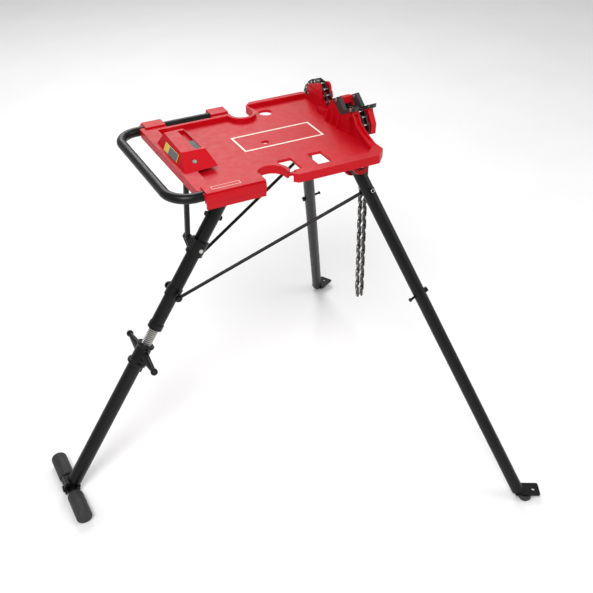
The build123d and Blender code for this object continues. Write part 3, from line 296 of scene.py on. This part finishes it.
# ---------------------------------------------------------------- wing nut, a rough casting
def cast_copy(node, grain, rounds):
    """A node remade as a soft-edged casting."""
    source = frame["nodes"][node]
    piece = bpy.data.objects.new(node + "_cast", source.data.copy())
    bpy.context.scene.collection.objects.link(piece)
    only(piece)
    bpy.ops.object.mode_set(mode="EDIT")
    bpy.ops.mesh.select_all(action="SELECT")
    bpy.ops.mesh.remove_doubles(threshold=0.00001)
    bpy.ops.object.mode_set(mode="OBJECT")
    skin = piece.modifiers.new("skin", "REMESH")
    skin.mode = "VOXEL"
    skin.voxel_size = grain
    bpy.ops.object.modifier_apply(modifier=skin.name)
    only(piece)
    soften = piece.modifiers.new("soften", "SMOOTH")
    soften.factor = 0.5
    soften.iterations = rounds
    bpy.ops.object.modifier_apply(modifier=soften.name)
    bpy.ops.object.shade_smooth()
    return hand_over(piece, body_of[node], slot_of[node], node)


made["wing_nut"] = cast_copy("wing_nut", 0.0014, 8)


# ---------------------------------------------------------------- places read from the frame
joints = {joint["name"]: joint for joint in record["behaviour"]["joints"]}
leg_pivot = Vector(joints["rear_leg_fold"]["pos_m"])
leg_down = Vector(joints["lower_leg_slide"]["axis"])


def end_of(node, direction):
    """Middle of the outermost face of a node along a direction."""
    points = [vertex.co.copy() for vertex in frame["nodes"][node].data.vertices]
    reach = max(point.dot(direction) for point in points)
    outer = [point for point in points if point.dot(direction) > reach - 0.0003]
    return sum(outer, Vector((0, 0, 0))) / len(outer)


# ---------------------------------------------------------------- thread of the levelling screw
PITCH = 0.005
THREAD_TOP = 0.412
THREAD_TURNS = 52


def screw_thread():
    bpy.ops.mesh.primitive_plane_add(size=1.0, location=(0, 0, 0), rotation=(math.pi / 2, 0, 0))
    coil = bpy.context.object
    coil.name = "leveling_screw_thread"
    coil.scale = (0.0022, 0.0034, 1.0)
    coil.location = (0.0113, 0, 0)
    settle(coil)
    bpy.ops.object.mode_set(mode="EDIT")
    bpy.ops.mesh.select_mode(type="VERT")
    bpy.ops.mesh.select_all(action="DESELECT")
    bpy.ops.object.mode_set(mode="OBJECT")
    for vertex in coil.data.vertices:
        vertex.select = vertex.co.x > 0.0113
    bpy.ops.object.mode_set(mode="EDIT")
    bpy.ops.transform.resize(value=(1.0, 1.0, 0.3), center_override=(0, 0, 0))
    bpy.ops.mesh.select_all(action="SELECT")
    bpy.ops.mesh.delete(type="ONLY_FACE")
    bpy.ops.object.mode_set(mode="OBJECT")
    winding = coil.modifiers.new("winding", "SCREW")
    winding.axis = "Z"
    winding.angle = 2 * math.pi
    winding.screw_offset = PITCH
    winding.iterations = THREAD_TURNS
    winding.steps = 36
    winding.render_steps = 36
    bpy.ops.object.modifier_apply(modifier=winding.name)
    bpy.ops.object.mode_set(mode="EDIT")
    bpy.ops.mesh.select_all(action="SELECT")
    bpy.ops.mesh.remove_doubles(threshold=0.000001)
    bpy.ops.mesh.fill_holes(sides=8)
    bpy.ops.mesh.normals_make_consistent(inside=False)
    bpy.ops.object.mode_set(mode="OBJECT")
    only(coil)
    coil.location = leg_pivot + leg_down * THREAD_TOP
    coil.rotation_euler = leg_down.to_track_quat("Z", "Y").to_euler()
    settle(coil)
    bpy.ops.object.shade_smooth_by_angle(angle=math.radians(32))
    # The root under the zinc thread is dark jaw steel: painted shade in the grooves between the turns, since
    # the screw is one zinc part.
    bpy.ops.mesh.primitive_cylinder_add(vertices=48, radius=0.0104, depth=0.2860, location=(0, 0, 0))
    shaded_root = bpy.context.object
    shaded_root.name = "leveling_screw_core"
    shaded_root.location = leg_pivot + leg_down * 0.5370
    shaded_root.rotation_euler = leg_down.to_track_quat("Z", "Y").to_euler()
    settle(shaded_root)
    bevel_edges(shaded_root, 0.0008)
    smooth(shaded_root)
    hand_over(coil, "rear_leg", "zinc_steel", "leveling_screw")
    hand_over(shaded_root, "rear_leg", "jaw_steel")
    bpy.data.objects.remove(made.pop("leveling_screw"))


screw_thread()


# ---------------------------------------------------------------- thin bright steel rings on the leg bolts: painted highlight on the bolt-head rims
def bolt_highlight_ring(name, body, node, direction, major, minor, finish="pin_steel"):
    # A thin bright steel ring laid on the bolt's end face, standing in as a painted highlight on the rim.
    place = end_of(node, direction) + direction * 0.00005
    bpy.ops.mesh.primitive_torus_add(
        major_radius=major, minor_radius=minor, major_segments=48, minor_segments=12, location=place,
        rotation=direction.to_track_quat("Z", "Y").to_euler())
    highlight_ring = bpy.context.object
    highlight_ring.name = name
    settle(highlight_ring)
    only(highlight_ring)
    bpy.ops.object.shade_smooth()
    bpy.ops.object.mode_set(mode="EDIT")
    bpy.ops.mesh.select_all(action="SELECT")
    bpy.ops.mesh.normals_make_consistent(inside=False)
    bpy.ops.object.mode_set(mode="OBJECT")
    hand_over(highlight_ring, body, finish)


for hand in ("right", "left"):
    outward = Vector(joints["front_leg_" + hand + "_fold"]["axis"])
    if (outward.y > 0) != (hand == "left"):
        outward = -outward
    bolt_highlight_ring("pivot_ring_" + hand, "stand_top", "front_pivot_bolt_" + hand, outward, 0.0062, 0.0008)
    bolt_highlight_ring("rod_bolt_ring_" + hand, "front_leg_" + hand, "tie_rod_bolt_" + hand, outward, 0.0040, 0.0008)


# ---------------------------------------------------------------- plain stripes and blank labels
def flat_bar(name, low, high, finish, turn=0.0, bevel=0.0002):
    """A thin flat bar between two corners, turned about its own middle."""
    middle = [(a + b) / 2 for a, b in zip(low, high)]
    bpy.ops.mesh.primitive_cube_add(size=1.0, location=middle, rotation=(0, 0, turn))
    bar = bpy.context.object
    bar.name = name
    bar.scale = [b - a for a, b in zip(low, high)]
    settle(bar)
    bevel_edges(bar, bevel)
    smooth(bar)
    return hand_over(bar, "stand_top", finish, slot="label_plate")


mounts = {mount["name"]: mount for mount in record["mounts"]}
well = mounts["tray_round_hole"]
floor_top = well["pos_m"][2] + well["dims"]["length_mm"] / 2000
PANEL = ((-0.010, 0.190), (-0.032, 0.050))
LINE = 0.0045


def blank_panel():
    """A plain outlined panel on the tray floor, with nothing inside it."""
    (x0, x1), (y0, y1) = PANEL
    low, high = floor_top - 0.0001, floor_top + 0.0003
    flat_bar("panel_line_near", (x0, y0, low), (x1, y0 + LINE, high), "cream_ink")
    flat_bar("panel_line_far", (x0, y1 - LINE, low), (x1, y1, high), "cream_ink")
    flat_bar("panel_line_start", (x0, y0 + LINE, low), (x0 + LINE, y1 - LINE, high), "cream_ink")
    flat_bar("panel_line_end", (x1 - LINE, y0 + LINE, low), (x1, y1 - LINE, high), "cream_ink")


blank_panel()


def wing_label():
    """A small blank label outline on the near lip."""
    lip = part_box("tray_casting")
    low, high = lip[1][2] - 0.0001, lip[1][2] + 0.0003
    x0, x1 = lip[0][0] + 0.028, lip[0][0] + 0.092
    y0, y1 = lip[0][1] + 0.016, lip[0][1] + 0.028
    thin = 0.0009
    flat_bar("lip_line_near", (x0, y0, low), (x1, y0 + thin, high), "cream_ink")
    flat_bar("lip_line_far", (x0, y1 - thin, low), (x1, y1, high), "cream_ink")
    flat_bar("lip_line_start", (x0, y0 + thin, low), (x0 + thin, y1 - thin, high), "cream_ink")
    flat_bar("lip_line_end", (x1 - thin, y0 + thin, low), (x1, y1 - thin, high), "cream_ink")


wing_label()


def grey_blank():
    """A grey blank over two thirds of the label plate on the pipe rest."""
    plate = frame["nodes"]["blank_label_plate"].data
    face = max(plate.polygons, key=lambda polygon: polygon.area * (polygon.normal.x < 0))
    low, high = (Vector(corner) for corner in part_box("blank_label_plate"))
    normal = face.normal.copy()
    centre = (low + high) / 2
    centre.y = low.y + (high.y - low.y) * 0.33
    centre += normal * (face.center - centre).dot(normal)
    slope = math.atan2(-normal.z, -normal.x)
    bpy.ops.mesh.primitive_cube_add(size=1.0, location=centre, rotation=(0, -slope, 0))
    blank = bpy.context.object
    blank.name = "rest_grey_blank"
    blank.scale = (0.0006, (high.y - low.y) * 0.63, 0.0176)
    settle(blank)
    bevel_edges(blank, 0.0002)
    smooth(blank)
    hand_over(blank, "stand_top", "grey_ink", slot="label_plate")


grey_blank()



# ---------------------------------------------------------------- studio
def studio():
    bpy.ops.mesh.primitive_plane_add(size=14.0, location=(0, 0, cad_low[2]))
    floor = bpy.context.object
    floor.name = "studio_floor"
    settle(floor)
    material, nodes, links, shader, source = node_chain("studio_floor")
    links.new(
        ramp(nodes, links, noise(nodes, links, source, 3.0), (0.86, 0.86, 0.86), (0.88, 0.88, 0.88)),
        shader.inputs["Base Color"])
    shader.inputs["Roughness"].default_value = 0.9
    floor.data.materials.append(material)
    world = bpy.data.worlds.new("studio_air")
    bpy.context.scene.world = world
    world.use_nodes = True
    world.node_tree.nodes["Background"].inputs["Color"].default_value = (1.0, 1.0, 1.0, 1.0)
    world.node_tree.nodes["Background"].inputs["Strength"].default_value = 0.50
    lamps = (
        ("key_softbox", (-1.6, -2.2, 3.4), 1.4, 112.0),
        ("fill_softbox", (2.6, -1.6, 2.2), 2.2, 30.0),
        ("rim_softbox", (0.6, 2.8, 3.0), 2.0, 62.0),
    )
    for name, place, size, power in lamps:
        bpy.ops.object.light_add(type="AREA", location=place)
        lamp = bpy.context.object
        lamp.name = name
        lamp.data.shape = "SQUARE"
        lamp.data.size = size
        lamp.data.energy = power
        aim = Vector((0.0, 0.0, 0.6)) - Vector(place)
        lamp.rotation_euler = aim.to_track_quat("-Z", "Y").to_euler()


studio()
bpy.context.scene.view_settings.view_transform = "Standard"
